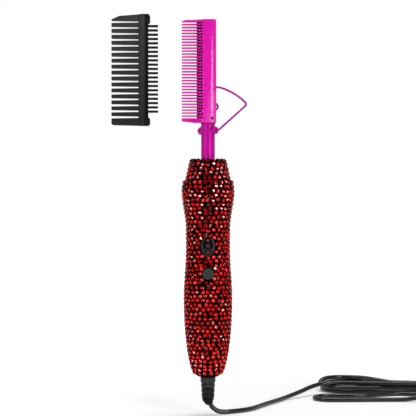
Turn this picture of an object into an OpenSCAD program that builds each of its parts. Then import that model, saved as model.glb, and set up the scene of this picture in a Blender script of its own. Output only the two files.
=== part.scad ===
// Electric hot comb: a heated comb head on a neck tube, a handle covered in stones with a power
// button and three temperature lights, a folding wire stand, a swivelling mains lead and a
// clip-on guard comb. Millimetres. +Z runs along the handle to the comb head, the teeth point
// to -X and the button to -Y. The origin is the middle of the grip, on the handle's axis.

/* [Handle] */
// Height of the grip's middle above the handle's lower end
grip_h = 70.6; // [66:0.2:76]
// Length of the two handle shells
body_len = 157; // [154:1:164]
// Radius of the shells at their lower end
end_r = 7.3; // [7:0.1:8]
// Largest radius of the lower swell
swell_r = 18.1; // [17.6:0.1:19]
// Height of the lower swell above the lower end
swell_h = 62; // [56:1:66]
// Radius of the waist
waist_r = 16.3; // [16:0.1:17]
// Height at which the waist begins
waist_low_h = 101; // [96:1:106]
// Height at which the waist ends
waist_high_h = 118; // [114:1:122]
// Largest radius of the shoulder
shoulder_r = 19.7; // [18.5:0.1:21]
// Distance of the shoulder below the shells' upper rim
shoulder_drop = 9; // [7:0.5:15]
// Radius of the shells at their upper rim
rim_r = 18.8; // [18:0.1:19.5]
// Wall of the handle shells
wall = 2.2; // [1.8:0.1:2.6]
// Thickness of the handle's closed lower end
end_wall = 4; // [3:0.2:5]

/* [Top cone] */
// Height of the cone on top of the handle
cone_h = 16; // [15:0.2:20]
// Radius of the cone where it stands on the shells
cone_base_r = 16.9; // [16.4:0.1:17.4]
// Radius of the cone below its rounded edge
cone_top_r = 14; // [13.4:0.1:14.8]
// Radius of the cone's rounded upper edge
cone_edge_r = 3; // [2:0.2:4]

/* [Stones] */
// Distance between rows of stones, along the surface
row_pitch = 3.46; // [3.2:0.02:4]
// Distance between the stones of a row
side_pitch = 4; // [3.8:0.1:4.4]
// Width of a stone
stone_w = 2.9; // [2.6:0.1:3.1]
// Width of a stone's flat top
stone_table = 2; // [1.4:0.1:2.4]
// Height of a stone above the shell
stone_h = 1.5; // [1.2:0.1:1.8]
// Thickness of the backing between stones
backing_t = 0.4; // [0.3:0.1:0.5]

/* [Window and button] */
// Gap between the power button and the window's frame
window_gap = 9.4; // [8:0.1:14]
// Width of the light window
window_w = 9.4; // [9:0.2:12]
// Length of the light window
window_l = 14.4; // [14:0.2:16]
// Width of the frame round the window
frame_w = 0.6; // [0.5:0.1:1]
// Distance between the lights
led_pitch = 4.75; // [4:0.05:5]
// Radius of a light
led_r = 1.5; // [1.3:0.05:1.8]
// Height of the power button above the handle's lower end
button_h = 82.8; // [80:0.1:84]
// Radius of the power button
button_r = 4.6; // [4.2:0.1:5]
// Travel of the power button
button_travel = 0.8; // [0.5:0.1:1]

/* [Neck and head] */
// Radius of the neck tube
neck_r = 5.5; // [5:0.1:5.6]
// Wall of the neck tube
neck_wall = 0.9; // [0.7:0.1:1.1]
// Length of neck that shows between the cone and the head
neck_len = 29.6; // [26:0.2:34]
// Height of the comb head
head_len = 82.3; // [80:0.1:90]
// Distance of the tooth tips from the neck's axis
tip_x = 21; // [20:0.1:24]
// Half the thickness of the tooth tips
tip_t = 1; // [0.8:0.1:1.2]
// Distance of the tooth roots from the neck's axis
root_x = 9.2; // [9:0.1:9.6]
// Half the thickness of the tooth roots
root_t = 1.9; // [1.7:0.1:2]
// Distance of the slot ends from the neck's axis
slot_end_x = 4.3; // [4:0.1:4.6]
// Half the thickness of the head's body
head_t = 6.2; // [6.1:0.1:6.8]
// Distance of the head's back from the neck's axis
back_x = 6.7; // [6.5:0.1:7]
// Radius of the head's back edges
back_r = 4.7; // [4:0.1:4.9]
// Distance from slot to slot
slot_pitch = 2.36; // [2.2:0.02:2.5]
// Width of a slot
slot_w = 1.18; // [1:0.02:1.3]
// Number of slots
slot_count = 33; // [28:1:33]
// Height of the lowest slot's middle above the head's lower end
first_slot_h = 4.35; // [3.8:0.05:4.6]

/* [Stand] */
// Radius of the stand's wire
wire_r = 0.85; // [0.75:0.05:1]
// Height of the stand's hinge below the head
hinge_drop = 6.2; // [5.6:0.1:9]
// Angle of the hinge's axis round the neck, from +X towards -Y
hinge_turn = 45; // [40:1:50]
// Distance of the hinge bosses' faces from the neck's axis
boss_x = 8.9; // [8.6:0.1:9.6]
// Radius of the hinge bosses
boss_r = 3; // [2.4:0.1:3.4]
// Half the stand's width at its corners
stand_w = 16; // [15:0.5:19]
// Distance of the stand's corners behind the hinge
corner_out = 28.6; // [26:0.2:32]
// Height of the stand's corners above the hinge
corner_up = 21.9; // [20:0.1:24]
// Height of the arch's top above the hinge
arch_up = 35.4; // [33:0.1:38]
// Radius of the arch at its top
arch_r = 11.5; // [9:0.5:12]

/* [Mains lead] */
// Diameter of the mains lead
cord_d = 3.8; // [3.4:0.1:4]
// Radius of the swivel's journal
journal_r = 4; // [3.6:0.1:4.2]
// Radius of the collar on the strain relief
collar_r = 6; // [5.6:0.1:6.6]
// Height of the collar
collar_h = 4.2; // [3.6:0.1:5]
// Length of the ribbed part of the strain relief
relief_len = 13.6; // [11:0.2:14]
// Radius of the ribbed part at its lower end
relief_r = 4.9; // [4.2:0.1:5.2]
// Spacing of the plug's two blades
blade_gap = 12.7; // [12.7:0.1:12.8]
// Length of the plug's blades
blade_len = 17.5; // [16:0.1:18]

/* [Guard comb] */
// Travel of the guard comb from where it lies to the head
guard_travel = 30.5; // [29:0.5:40]
// Length of the long teeth
long_tooth = 21.6; // [18:0.2:24]
// Distance from long tooth to long tooth
long_pitch = 4.76; // [4.6:0.02:4.8]
// Number of gaps between the long teeth
long_gaps = 17; // [15:1:17]
// Length of the short teeth
short_tooth = 7.8; // [6:0.1:8]
// Distance from short tooth to short tooth
short_pitch = 3.43; // [3.2:0.01:3.46]
// Number of short teeth
short_count = 21; // [18:1:21]
// Half the thickness of the guard's spine
spine_t = 4.2; // [4:0.1:5]
// Width of the spine, from the long teeth to its front edge
spine_w = 5; // [4.6:0.1:6]
// Height of the guard above the head
over_top = 4.4; // [3.6:0.1:5]
// Depth of the guard below the head
over_low = 2.3; // [2:0.1:3]

/* [Fits] */
// Clearance round a piece that turns
run_gap = 0.06; // [0.04:0.01:0.09]
// Clearance round the button and between moving pieces
slide_gap = 0.3; // [0.2:0.05:0.4]
// Clearance round a piece that is held
seat_gap = 0.05; // [0.02:0.01:0.1]

/* [Hidden] */
$fn = 48;
eps = 0.01;

// Heights along the comb
z_end = -grip_h;
z_rim = z_end + body_len;
z_cone = z_rim + cone_h;
z_head = z_cone + neck_len;
z_hinge = z_head - hinge_drop;
z_button = z_end + button_h;
z_window = z_button + button_r + window_gap + frame_w + window_l / 2;

// Handle profile: an ellipse up to the swell, then smooth steps between the named radii
profile_step = 4;
end_turn = 9;
shoulder_h = body_len - shoulder_drop;

function ease(a, b, t) = a + (b - a) * t * t * (3 - 2 * t);

function handle_r(h) =
    h <= 0 ? end_r
    : h < swell_h ? end_r + (swell_r - end_r) * sqrt(1 - pow(1 - h / swell_h, 2))
    : h < waist_low_h ? ease(swell_r, waist_r, (h - swell_h) / (waist_low_h - swell_h))
    : h < waist_high_h ? waist_r
    : h < shoulder_h ? ease(waist_r, shoulder_r, (h - waist_high_h) / (shoulder_h - waist_high_h))
    : ease(shoulder_r, rim_r, min(1, (h - shoulder_h) / (body_len - shoulder_h)));

// Heights of the profile's points: closer together where the lower end curves in
profile_heights = concat(
    [for (turn = [0:end_turn:90 - end_turn]) swell_h * (1 - cos(turn))],
    [for (h = [swell_h:profile_step:body_len - profile_step / 2]) h],
    [body_len]
);

// Rows of stones follow each other at one pitch along the surface
first_row = 3.8;
notch_w = 0.4;
notch_h = 0.6;

function slope(h) = handle_r(h + 0.5) - handle_r(h - 0.5);

function rows(h) =
    h > body_len - stone_w / 2 ? []
    : concat([h], rows(h + row_pitch / norm([1, slope(h)])));

// A point above the surface, square to it, given the radius, the height and the surface's lean
function above(r, h, lean, lift) = [r, h] + lift * [1, -lean] / norm([1, lean]);

function polar(r, turn) = [r * cos(turn), r * sin(turn)];

// The outline of one row's stones round an arc: flat tops, with a notch from stone to stone
function stone_arc(r, count, first, pitch) =
    let (
        top = asin(stone_table / 2 / (r + stone_h)),
        foot = pitch / 2 - asin(notch_w / 2 / (r + notch_h))
    )
    [for (i = [0:count - 1], side = [-1, 1])
        let (turn = first + i * pitch)
        each side < 0
            ? [polar(r + notch_h, turn - foot), polar(r + stone_h, turn - top)]
            : [polar(r + stone_h, turn + top), polar(r + notch_h, turn + foot)]];

// Cone on top of the handle
cone_rows = round((cone_h - cone_edge_r) / row_pitch);
edge_row_r = cone_top_r - cone_edge_r * (1 - cos(45)) - stone_h * (1 - cos(45));
edge_row_low = z_cone - cone_edge_r * (1 - sin(45)) - stone_h;
cone_lean = (cone_top_r - cone_base_r) / (cone_h - cone_edge_r);
bush_wall = 3.4;
bush_rim_w = 2.5;
bush_r = neck_r + bush_wall;
bush_rim_r = bush_r + bush_rim_w;
bush_rim_t = 2;
spigot_h = 6;
bush_low = z_rim - spigot_h - bush_rim_t;

function cone_r(h) = cone_base_r + cone_lean * h;

// Window, button and board; round bars are turned so that their seams lie off the shells' edges
bar_turn = 33;
window_rise = 1;
window_front = waist_r + window_rise;
window_t = 3;
window_crown = 0.5;
frame_rise = 0.4;
button_rise = 1;
button_front = handle_r(button_h) + button_rise;
button_step = 0.5;
flange_w = 0.9;
flange_r = button_r + flange_w;
flange_front = sqrt(pow(handle_r(button_h) - wall, 2) - pow(flange_r, 2)) - slide_gap;
flange_t = 0.8;
stem_r = 1.6;
board_t = 1.6;
board_w = 18;
board_front = 8;
board_below = 37;
board_above = 19;
board_low = z_button - board_below;
board_high = z_window + board_above;
switch_size = 6;
switch_depth = 3.5;
plunger_r = 1.7;
plunger_front = board_front + switch_depth + button_travel;
led_rise = 0.2;
led_front = window_front + window_crown + led_rise;
part_back = board_t - board_front;
chip_w = 8;
relay = [6, 9, 9];
cap_r = 3;
cap_len = 9;
post_r = 2.4;
board_screw_r = 1;
board_screw_len = 4.5;
board_screw_head = 0.9;
board_screw_head_h = 1.2;
board_edge = 4;
board_screws_z = [board_low + board_edge, board_high - board_edge];
chip_t = 1.6;
part_gap = 1.5;
cap_drop = 12;
plunger_len = 2.4;
plunger_play = 0.1;

// Handle screws: one below the board and two beside the neck's lower end
screw_r = 1.3;
screw_head_r = 2.4;
screw_head_h = 2.4;
screw_floor = 5;
screw_len = 6;
boss_wall = 1.4;
screw_play = 0.15;
screw_under_board = 7;
screw_side = 9.5;
screw_under_rim = 22;
screw_places = [
    [0, board_low - screw_under_board],
    [-screw_side, z_rim - screw_under_rim],
    [screw_side, z_rim - screw_under_rim]
];

// Head: the body's section, its hollow and the heater in it
socket_h = 8;
neck_grip = 22.4;
neck_low = z_cone - neck_grip;
collar_t = 0.4;
collar_len = 0.8;
head_floor = 10;
head_roof = 1.8;
end_ease = 1.3;
core_gap = 0.25;
back_c = back_x - back_r;
flare_end = 3.4;
core_half = 4.2;
core_nose = 1;
core_nose_x = 9;
shoe_end_x = 4.6;
shoe_h = 2.9;
core_slope = (core_half - core_nose) / (core_nose_x - flare_end);
slots = min(slot_count, 1 + floor((head_len - head_roof - slot_w / 2 - first_slot_h) / slot_pitch));
core_back_x = 3;
core_low = z_head + head_floor + core_gap;
core_high = z_head + head_len - head_roof - core_gap;
lead_r = 0.7;
lead_x = 2.6;
lead_y = 2.2;
lead_grip = 3.5;
lead_play = 0.2;
lead_hole_r = norm([lead_x, lead_y]) + lead_r + lead_play;
solder_x = 4.6;
solder_len = 6;
lead_out = 2;
lead_step = 1.2;
lead_bend = 7.4;
lead_air = 1;
lead_turn_x = screw_head_r + boss_wall + lead_r + lead_air;
sensor_r = 1.1;
sensor_len = 11;
sensor_up = 2;
head_screw_x = 3.4;
head_screw_h = 3.5;
head_screw_r = 1;
head_screw_sunk = 0.9;
head_screw_in = 2;
head_bore_y = 3;
head_screw_socket = 0.8;

// Stand: the legs run to two corners, and the arch turns back to the head
pin_depth = 2.7;
boss_lap = 1.2;
elbow_out = 2.9;
elbow_x = boss_x + elbow_out;
elbow_r = 2;
corner_r = 1.6;
head_reach = norm([back_c, head_t - back_r]) + back_r;
arch_out = head_reach + wire_r + slide_gap;
arch_side = norm([arch_out - corner_out, arch_up - corner_up]);
arch_dir = [0, arch_out - corner_out, arch_up - corner_up] / arch_side;
leg_end = [stand_w, corner_out, corner_up];
leg_start = [elbow_x, 0, 0];
leg_dir = (leg_end - leg_start) / norm(leg_end - leg_start);
corner_turn = acos(leg_dir * arch_dir);
corner_trim = corner_r * tan(corner_turn / 2);
arch_h = arch_side - corner_trim;
crown_c = arch_h - arch_r;
side_r = (pow(stand_w, 2) + pow(crown_c, 2) - pow(arch_r, 2)) / (2 * (stand_w - arch_r));
side_turn = atan2(crown_c, side_r - stand_w);
elbow_trim = elbow_r * tan(acos(leg_dir[0]) / 2);
stand_sides = 10;
pin_lap = 1.2;
pin_end = elbow_x - elbow_trim - pin_lap / 4;

function on_arch(across, along) = [across, corner_out, corner_up] + arch_dir * (corner_trim + along);

// Half of the stand's path: elbow, corner, side of the arch and half of its crown
stand_half = concat(
    [leg_start - [elbow_trim + pin_lap, 0, 0]],
    bend_points(leg_start, [1, 0, 0], leg_dir, elbow_r, 4),
    bend_points(leg_end, leg_dir, arch_dir, corner_r, 6),
    [for (i = [1:4])
        let (a = side_turn * i / 4)
        on_arch(stand_w - side_r + side_r * cos(a), side_r * sin(a))],
    [for (i = [1:5])
        let (a = side_turn + (90 - side_turn) * i / 5)
        on_arch(arch_r * cos(a), crown_c + arch_r * sin(a))]
);
stand_path = concat(
    stand_half,
    [for (i = [len(stand_half) - 2:-1:0]) [-stand_half[i][0], stand_half[i][1], stand_half[i][2]]]
);

// Swivel and strain relief
flange_gap = 0.1;
bush_flange_w = 2.6;
bush_flange_r = journal_r + bush_flange_w;
bush_flange_h = 2;
stem_up = 12;
stem_top = z_end + end_wall + stem_up;
ring_up = 4;
ring_low = z_end + end_wall + ring_up;
ring_step = 4;
ring_h = 2;
ring_rise = 0.6;
ring_r = journal_r + ring_rise;
stem_step = 0.8;
bush_stem_r = journal_r - stem_step;
brush_l = 1.3;
brush_w = 1.6;
holder_w = 6;
holder_t = 3;
holder_step = 0.7;
holder_lip = 1;
holder_y = ring_r + flange_gap + brush_l;
holder_top = ring_low + 2 * ring_step;
foot_y = bush_flange_r + slide_gap;
power_rise = 4;
collar_gap = 0.6;
collar_top = z_end - collar_gap;
collar_low = collar_top - collar_h;
tail_len = 3.8;
tail_lean = 20;
tail_lap = 0.8;
tail_step = 0.4;
tail_skin = 1;
rib_gap = 0.9;
rib_pitch = 3.95;
rib_start = 0.2;
rib_depth = 1;
side_slot_x = 1.2;

// The lead's route from the strain relief to the hank, and the floor that it lies on
floor_z = -101.4;
cord_route = [
    [1, 0, -91.4], [1.55, 0.1, -92.7], [2.9, 0.3, -94.9], [4.7, 0.6, -96.8], [6.8, 1.1, -98.2],
    [9.3, 1.8, -99.1], [12.1, 2.7, -99.5], [18, 4.9, -99.5], [24, 8.2, -99.5], [30, 13, -99.5],
    [36, 20, -99.5], [42, 31, -99.5], [48, 43, -99.5],
    [54, 54, -99.5], [60, 65, -99.5], [65, 75, -99.3], [70, 81, -98.7], [76, 88, -97.6],
    [83, 96, -96.1], [90, 104, -94.4], [97, 110, -93]
];
cord_sides = 8;

// Hank: outline of the folded lead, and the tie round it
hank_h = 12;
hank_lobes = [
    [110, 82, 20], [124, 133.5, 22.4], [226, 101.5, 17.4], [226, 124.5, 17.4]
];
hank_front = 82.6;
hank_back = 143.2;
tie_x = 222;
tie_w = 8;
tie_t = 1;
tie_gap = 0.3;

// Plug at the lead's end, beside the hank, and the stretch of lead that runs to it
end_route = [
    [122, 64.8, -99.5], [130, 65.5, -99.5], [140, 66.2, -99.5], [150, 66.5, -99.5],
    [158, 66.6, -99.5], [166, 66.5, -99.4], [172, 66.2, -98.9], [178, 65.5, -97.8],
    [184, 64.6, -96.2], [190, 63.4, -94.6], [197, 62.2, -93.5]
];
plug_relief_len = 16;
plug_neck_r = 5;
plug_neck_skin = 0.8;
plug_len = 32;
plug_w = 25;
plug_t = 16;
plug_x = 196;
plug_y = 62;
plug_z = floor_z + plug_t / 2;
plug_corner = 4;
blade_w = 6.3;
blade_t = 1.5;
blade_hole_r = 1.5;
blade_hole_in = 4;

// Guard comb, in the place where it lies; moved by guard_travel it sits on the head
channel_reach = 5;
channel_t = tip_t + (root_t - tip_t) * channel_reach / (tip_x - root_x) + slide_gap;
channel_x = -tip_x - guard_travel - slide_gap;
short_air = 0.4;
short_tip_x = channel_x + slide_gap + tip_x - root_x - short_air;
short_root_x = short_tip_x - short_tooth;
lip_reach = 1.3;
lip_x = channel_x + lip_reach;
block_reach = 5.4;
block_x = channel_x + block_reach;
long_root_x = lip_x - spine_w;
long_tip_x = long_root_x - long_tooth;
guard_low = z_head - over_low;
guard_high = z_head + head_len + over_top;
block_high = over_top + 3;
block_low = over_low + 4.6;
block_ease = 1.3;
tooth_half = 2.6;
guard_lap = 1;
tip_drop = 4.2;
tip_run = 6;
gap_root_w = 1.3;
gap_tip_w = 2.1;
short_w = 1.8;
short_step = 0.1;
short_front = root_t + slide_gap + short_step;
short_t = 1.8;
short_back = short_front + short_t;
guard_mid = (guard_low + guard_high) / 2;
long_rise = 0.45;
short_rise = 1.4;

// Revolves a profile through one half of the handle: side -1 is the front, 1 the back
module half_turn(side) {
    rotate([0, 0, side > 0 ? 0 : 180])
        rotate_extrude(angle = 180)
            children();
}

module shell_profile() {
    polygon(concat(
        [for (h = profile_heights) [handle_r(h), z_end + h]],
        [[rim_r - wall, z_rim]],
        [for (i = [len(profile_heights) - 1:-1:0])
            let (h = profile_heights[i])
            if (h > end_wall + 1 && h < body_len) [handle_r(h) - wall, z_end + h]],
        [[handle_r(end_wall) - wall, z_end + end_wall]],
        [[journal_r + run_gap, z_end + end_wall]],
        [[journal_r + run_gap, z_end]]
    ));
}

// The backing on the shells that the stones stand in, solid to the axis
module backing_profile() {
    polygon(concat(
        [[0, z_end], [handle_r(0), z_end]],
        [for (h = rows(first_row)) [0, z_end] + above(handle_r(h), h, slope(h), backing_t)],
        [[rim_r + backing_t, z_rim], [0, z_rim]]
    ));
}

// The space inside the stones: the shells' own outline
module under_stones() {
    rotate_extrude()
        polygon(concat(
            [[0, z_end - 1], [handle_r(0), z_end - 1]],
            [for (h = profile_heights) [handle_r(h), z_end + h]],
            [[rim_r, z_rim + 1], [0, z_rim + 1]]
        ));
}

// The stones of one half, each row shifted by half a stone against the next
module stone_rows(side) {
    all_rows = rows(first_row);
    for (k = [0:len(all_rows) - 1]) {
        h = all_rows[k];
        r = handle_r(h);
        count = floor(PI * r / side_pitch);
        shift = k % 2;
        width = stone_w / norm([1, slope(h)]);
        translate([0, 0, z_end + h - width / 2])
            rotate([0, 0, side > 0 ? 0 : 180])
                linear_extrude(width)
                    polygon(concat(
                        [[0, 0], [r + notch_h, 0]],
                        stone_arc(r, count - shift, (1 + shift) * 90 / count, 180 / count),
                        [[-r - notch_h, 0]]
                    ));
    }
}

// An oval prism along -Y, from one depth to another, at the window
module window_prism(grow, near, far) {
    translate([0, -near, z_window])
        rotate([90, 0, 0])
            linear_extrude(far - near)
                polygon([for (a = [0:10:350])
                    [(window_w / 2 + grow) * cos(a), (window_l / 2 + grow) * sin(a)]]);
}

// A round bar along -Y, from one depth to another
module bar_y(r, x, z, near, far) {
    translate([x, -near, z])
        rotate([90, bar_turn, 0])
            cylinder(r = r, h = far - near);
}

// Points along a bend at a corner, from direction d to direction e
function bend_points(corner, d, e, radius, steps) =
    let (
        turn = acos(d * e),
        side = (e - d * (d * e)) / sin(turn),
        centre = corner - d * radius * tan(turn / 2) + side * radius
    )
    [for (i = [0:steps])
        let (a = turn * i / steps)
        centre + radius * (d * sin(a) - side * cos(a))];

// Direction of a path at one of its points
function path_dir(path, i) =
    let (
        a = path[max(0, i - 1)],
        b = path[min(len(path) - 1, i + 1)]
    )
    (b - a) / norm(b - a);

// A ring of points round a path, square to it; ref is never parallel to the path
function path_ring(path, i, radius, sides, ref) =
    let (
        d = path_dir(path, i),
        side = cross(d, ref) / norm(cross(d, ref)),
        up = cross(d, side)
    )
    [for (k = [0:sides - 1])
        let (a = 360 * k / sides)
        path[i] + radius * (side * cos(a) + up * sin(a))];

// A closed tube swept along a path
module tube(path, radius, sides, ref) {
    rings = len(path);
    polyhedron(
        points = [for (i = [0:rings - 1]) each path_ring(path, i, radius, sides, ref)],
        faces = concat(
            [[for (k = [0:sides - 1]) k]],
            [for (i = [0:rings - 2], k = [0:sides - 1])
                let (next = (k + 1) % sides)
                [i * sides + k, (i + 1) * sides + k, (i + 1) * sides + next, i * sides + next]],
            [[for (k = [sides - 1:-1:0]) (rings - 1) * sides + k]]
        )
    );
}

module comb_head() {
    color("#e815b0")
        difference() {
            intersection() {
                translate([0, 0, z_head])
                    linear_extrude(head_len)
                        head_section();
                head_side();
            }
            translate([0, 0, z_head + head_floor])
                linear_extrude(head_len - head_floor - head_roof)
                    core_section(core_gap);
            translate([0, 0, z_head + shoe_h - core_gap])
                linear_extrude(head_floor - shoe_h + 1)
                    shoe_section(core_gap);
            for (i = [0:slots - 1])
                translate([-tip_x - 1, -head_t - 1, z_head + first_slot_h + i * slot_pitch - slot_w / 2])
                    cube([tip_x + 1 - slot_end_x, 2 * head_t + 2, slot_w]);
            translate([0, 0, z_head - eps])
                cylinder(r = neck_r + seat_gap, h = socket_h + eps);
            translate([0, 0, z_head])
                cylinder(r = lead_hole_r, h = head_floor + 1);
            bar_y(head_screw_r + seat_gap, head_screw_x, z_head + head_screw_h, head_bore_y, head_t + 1);
        }
}

// Section of the head: a tooth plate that flares into a body with a round back
module head_section() {
    polygon([
        [-tip_x, -tip_t], [-root_x, -root_t], [-flare_end, -head_t], [back_c, -head_t],
        [back_c, head_t], [-flare_end, head_t], [-root_x, root_t], [-tip_x, tip_t]
    ]);
    for (side = [-1, 1])
        translate([back_c, side * (head_t - back_r)])
            circle(back_r);
    translate([back_c - eps, back_r - head_t])
        square([back_r + eps, 2 * (head_t - back_r)]);
}

// Side outline of the head, with its end teeth eased at their tips
module head_side() {
    rotate([90, 0, 0])
        translate([0, 0, -head_t - 1])
            linear_extrude(2 * head_t + 2)
                polygon([
                    [-tip_x - 1, z_head + end_ease], [-root_x - end_ease, z_head],
                    [back_x + 1, z_head], [back_x + 1, z_head + head_len],
                    [-tip_x + 2.5 * end_ease, z_head + head_len],
                    [-tip_x - 1, z_head + head_len - end_ease]
                ]);
}

module core_section(gap) {
    polygon([
        [-core_nose_x - gap, -core_nose - gap], [-flare_end, -core_half - gap],
        [core_back_x + gap, -core_half - gap], [core_back_x + gap, core_half + gap],
        [-flare_end, core_half + gap], [-core_nose_x - gap, core_nose + gap]
    ]);
}

// The core's nose alone, which runs on past the neck to the lowest slots
module shoe_section(gap) {
    end_half = core_nose + core_slope * (core_nose_x - shoe_end_x);
    polygon([
        [-core_nose_x - gap, -core_nose - gap], [-shoe_end_x + gap, -end_half - gap],
        [-shoe_end_x + gap, end_half + gap], [-core_nose_x - gap, core_nose + gap]
    ]);
}

module heater_core() {
    color("#1a1a1c")
        difference() {
            union() {
                translate([0, 0, core_low])
                    linear_extrude(core_high - core_low)
                        core_section(0);
                translate([0, 0, z_head + shoe_h])
                    linear_extrude(core_low - z_head - shoe_h + 1)
                        shoe_section(0);
            }
            translate([0, 0, z_head])
                cylinder(r = neck_r + core_gap, h = core_low - z_head);
            translate([0, 0, core_low - eps])
                cylinder(r = sensor_r + seat_gap, h = sensor_up + sensor_len + eps);
            for (side = [-1, 1])
                translate([-lead_x, side * lead_y, core_low - eps])
                    cylinder(r = lead_r + seat_gap, h = lead_grip + eps);
        }
}

module thermistor() {
    color("#c9b48a")
        translate([0, 0, core_low + sensor_up])
            cylinder(r = sensor_r, h = sensor_len);
}

module head_screw() {
    color("#202020")
        difference() {
            bar_y(
                head_screw_r, head_screw_x, z_head + head_screw_h,
                neck_r - head_screw_in, head_t - head_screw_sunk
            );
            translate([head_screw_x, head_screw_sunk - head_t + head_screw_socket, z_head + head_screw_h])
                rotate([90, 0, 0])
                    cylinder(r = head_screw_r / 2, h = 1, $fn = 6);
        }
}

module neck_tube() {
    color("#c81ea0")
        difference() {
            translate([0, 0, neck_low])
                cylinder(r = neck_r, h = z_head + socket_h - neck_low);
            translate([0, 0, neck_low - eps])
                cylinder(r = neck_r - neck_wall, h = z_head + socket_h - neck_low + 2 * eps);
            bar_y(
                head_screw_r + seat_gap, head_screw_x, z_head + head_screw_h,
                neck_r - head_screw_in, neck_r + 1
            );
        }
}

module neck_collar() {
    color("#b01590")
        difference() {
            translate([0, 0, z_head - collar_len])
                cylinder(r = neck_r + collar_t, h = collar_len);
            translate([0, 0, z_head - collar_len - eps])
                cylinder(r = neck_r, h = collar_len + 2 * eps);
        }
}

// The stand turns in its own frame: X along the hinge, Y away from the neck, Z up
module at_hinge() {
    translate([0, 0, z_hinge])
        rotate([0, 0, -hinge_turn])
            children();
}

module hinge_bosses() {
    color("#c81ea0")
        at_hinge()
            for (side = [0, 180])
                rotate([0, 0, side])
                    difference() {
                        translate([neck_r - boss_lap, 0, 0])
                            rotate([0, 90, 0])
                                cylinder(r = boss_r, h = boss_x - neck_r + boss_lap);
                        translate([0, 0, -boss_r - 1])
                            cylinder(r = neck_r, h = 2 * boss_r + 2);
                        translate([boss_x - pin_depth - slide_gap, 0, 0])
                            rotate([0, 90, 0])
                                cylinder(r = wire_r + run_gap, h = pin_depth + slide_gap + eps);
                    }
}

module stand_wire() {
    color("#c0189a")
        at_hinge() {
            for (side = [0, 180])
                rotate([0, 0, side])
                    translate([boss_x - pin_depth, 0, 0])
                        rotate([0, 90, 0])
                            cylinder(r = wire_r, h = pin_end - boss_x + pin_depth);
            tube(stand_path, wire_r - 0.01, stand_sides, [1, 0, -1]);
        }
}

module neck_bush() {
    color("#b9a27a")
        difference() {
            union() {
                translate([0, 0, bush_low])
                    cylinder(r = bush_r, h = z_cone - bush_low);
                translate([0, 0, bush_low])
                    cylinder(r = bush_rim_r, h = bush_rim_t);
            }
            translate([0, 0, bush_low - eps])
                cylinder(r = neck_r + seat_gap, h = z_cone - bush_low + 2 * eps);
        }
}

module top_cone() {
    color("#151515")
        rotate_extrude()
            polygon(concat(
                [
                    [bush_r + seat_gap, z_rim - spigot_h],
                    [rim_r - wall - seat_gap, z_rim - spigot_h],
                    [rim_r - wall - seat_gap, z_rim]
                ],
                [for (p = cone_profile(0)) if (p[0] > 0) p],
                [[bush_r + seat_gap, z_cone]]
            ));
}

module cone_stones() {
    color("#c00010")
        difference() {
            union() {
                rotate_extrude()
                    polygon(cone_profile(backing_t));
                for (k = [0:cone_rows - 1]) {
                    h = (k + 0.5) * row_pitch;
                    stone_ring(cone_r(h), z_rim + h - stone_w / 2, stone_w, k);
                }
                stone_ring(edge_row_r, edge_row_low, stone_w - stone_h * (1 - sin(45)), cone_rows);
            }
            rotate_extrude()
                polygon(concat(
                    [[0, z_rim - 1], [cone_base_r, z_rim - 1]],
                    [for (p = cone_profile(0)) if (p[0] > 0) p],
                    [[cone_top_r - cone_edge_r, z_cone + stone_h], [0, z_cone + stone_h]]
                ));
        }
}

// The cone's outline from its foot to its rounded upper edge, raised by a lift
function cone_profile(lift) = concat(
    [[0, z_rim], [cone_base_r + lift, z_rim]],
    [for (a = [0:15:90])
        [cone_top_r - cone_edge_r * (1 - cos(a)) + lift * cos(a),
            z_cone - cone_edge_r * (1 - sin(a)) + lift * sin(a)]],
    [[0, z_cone + lift]]
);

// A closed ring of stones round the cone, shifted by half a stone in every other row
module stone_ring(r, low, width, k) {
    count = floor(2 * PI * r / side_pitch);
    translate([0, 0, low])
        linear_extrude(width)
            polygon(stone_arc(r, count, k % 2 * 180 / count, 360 / count));
}

module handle_front() {
    color("#151515")
        difference() {
            union() {
                half_turn(-1)
                    shell_profile();
                intersection() {
                    union() {
                        for (z = board_screws_z)
                            bar_y(post_r, 0, z, board_front, rim_r);
                        for (p = screw_places)
                            bar_y(screw_r + boss_wall, p[0], p[1], 0, rim_r);
                    }
                    half_turn(-1)
                        shell_fill();
                }
            }
            window_prism(frame_w + seat_gap, board_front, rim_r + 3);
            bar_y(button_r + slide_gap, 0, z_button, board_front, rim_r + 3);
            for (z = board_screws_z)
                bar_y(board_screw_r, 0, z, board_front - eps, board_front + board_screw_len + 0.5);
            for (p = screw_places)
                bar_y(screw_r, p[0], p[1], -eps, screw_len + 1);
        }
}

// The space that the shells enclose, a little into their wall
module shell_fill() {
    polygon(concat(
        [for (h = profile_heights) if (h > end_wall && h < body_len - spigot_h - 1)
            [handle_r(h) - wall / 2, z_end + h]],
        [[0, z_rim - spigot_h - 1]],
        [[0, z_end + end_wall]]
    ));
}

module handle_back() {
    color("#151515")
        difference() {
            union() {
                half_turn(1)
                    shell_profile();
                intersection() {
                    for (p = screw_places)
                        bar_y(screw_head_r + boss_wall, p[0], p[1], -rim_r, 0);
                    half_turn(1)
                        shell_fill();
                }
            }
            for (p = screw_places) {
                bar_y(screw_r + screw_play, p[0], p[1], -rim_r - 2, eps);
                bar_y(screw_head_r + screw_play, p[0], p[1], -rim_r - 2, -screw_floor);
            }
        }
}

module handle_screws() {
    color("#8a8a8e")
        for (p = screw_places) {
            bar_y(screw_r, p[0], p[1], -screw_floor, screw_len);
            bar_y(screw_head_r, p[0], p[1], -screw_floor - screw_head_h, -screw_floor);
        }
}

module stones_front() {
    color("#e00a14")
        difference() {
            union() {
                half_turn(-1)
                    backing_profile();
                stone_rows(-1);
            }
            under_stones();
            window_prism(frame_w + seat_gap, board_front, rim_r + 3);
            bar_y(button_r + slide_gap, 0, z_button, board_front, rim_r + 3);
        }
}

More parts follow.
